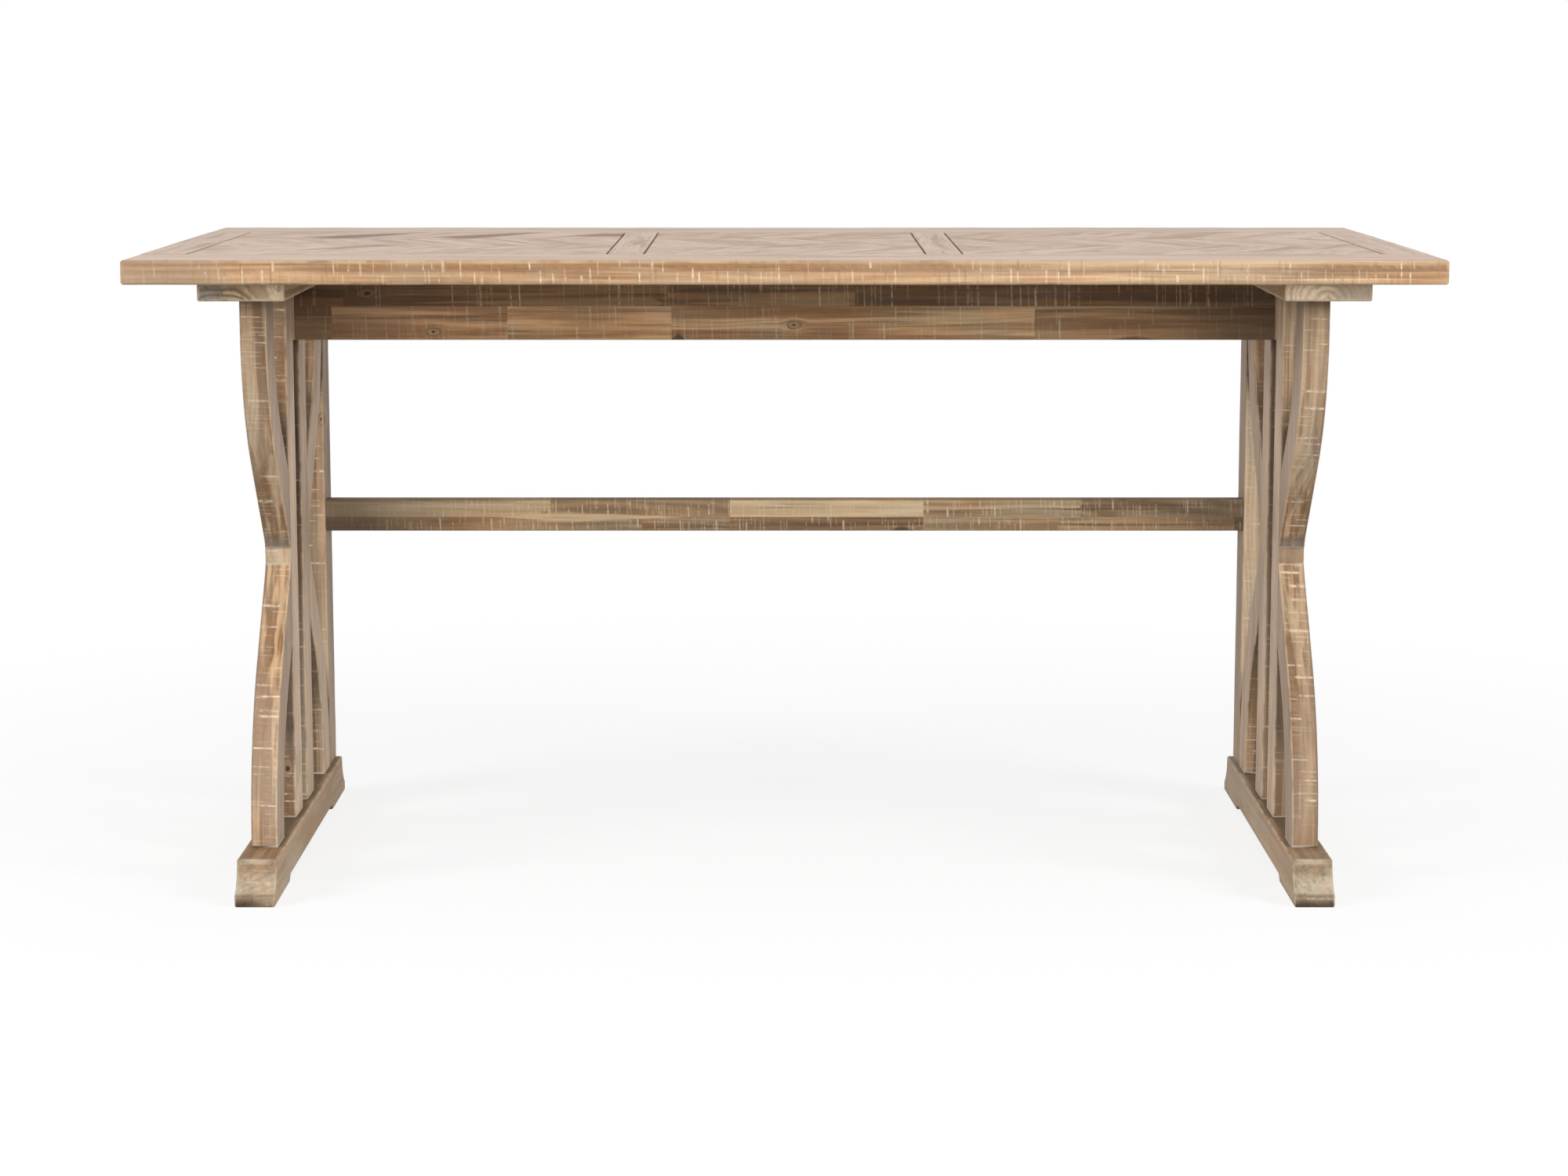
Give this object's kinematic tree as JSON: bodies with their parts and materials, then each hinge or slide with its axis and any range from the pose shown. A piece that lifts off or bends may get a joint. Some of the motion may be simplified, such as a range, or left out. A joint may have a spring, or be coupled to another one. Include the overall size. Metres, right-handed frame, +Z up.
{
  "type": "bar table",
  "caption": "Counter-height wooden trestle table: framed parquet top on two hourglass trestles with curved legs, joined by an apron and a rear stretcher.",
  "frame": {"origin": "on the floor, under the middle of the top", "axes": "+X along the top to the right as seen from the front, +Y to the back (the stretcher side), +Z up"},
  "size_m": [1.8, 0.9, 0.91],
  "materials": {
    "parquet": "washed matt",
    "top_boards": "washed matt, saw-marked",
    "core_board": "plain",
    "frame_wood": "limed matt, saw-marked",
    "tenon_wood": "plain",
    "steel": "zinc plated"
  },
  "bodies": {
    "root": {"left_parquet": "parquet", "centre_parquet": "parquet", "right_parquet": "parquet", "front_rail": "top_boards", "back_rail": "top_boards", "left_end_board": "top_boards", "right_end_board": "top_boards", "left_cross_board": "top_boards", "right_cross_board": "top_boards", "core_panel": "core_board", "left_foot": "frame_wood", "left_cleat": "frame_wood", "left_head_block": "frame_wood", "left_front_post": "frame_wood", "left_back_post": "frame_wood", "left_stretcher_post": "frame_wood", "left_front_upper_leg": "frame_wood", "left_front_lower_leg": "frame_wood", "left_back_upper_leg": "frame_wood", "left_back_lower_leg": "frame_wood", "right_foot": "frame_wood", "right_cleat": "frame_wood", "right_head_block": "frame_wood", "right_front_post": "frame_wood", "right_back_post": "frame_wood", "right_stretcher_post": "frame_wood", "right_front_upper_leg": "frame_wood", "right_front_lower_leg": "frame_wood", "right_back_upper_leg": "frame_wood", "right_back_lower_leg": "frame_wood", "apron_upper_strip": "frame_wood", "apron_lower_strip": "frame_wood", "stretcher_upper_strip": "frame_wood", "stretcher_lower_strip": "frame_wood", "waist_tenons": "tenon_wood", "apron_bolts": "steel", "apron_barrel_nuts": "steel", "stretcher_bolts": "steel", "stretcher_barrel_nuts": "steel", "cleat_screws": "steel"}
  },
  "joints": []
}
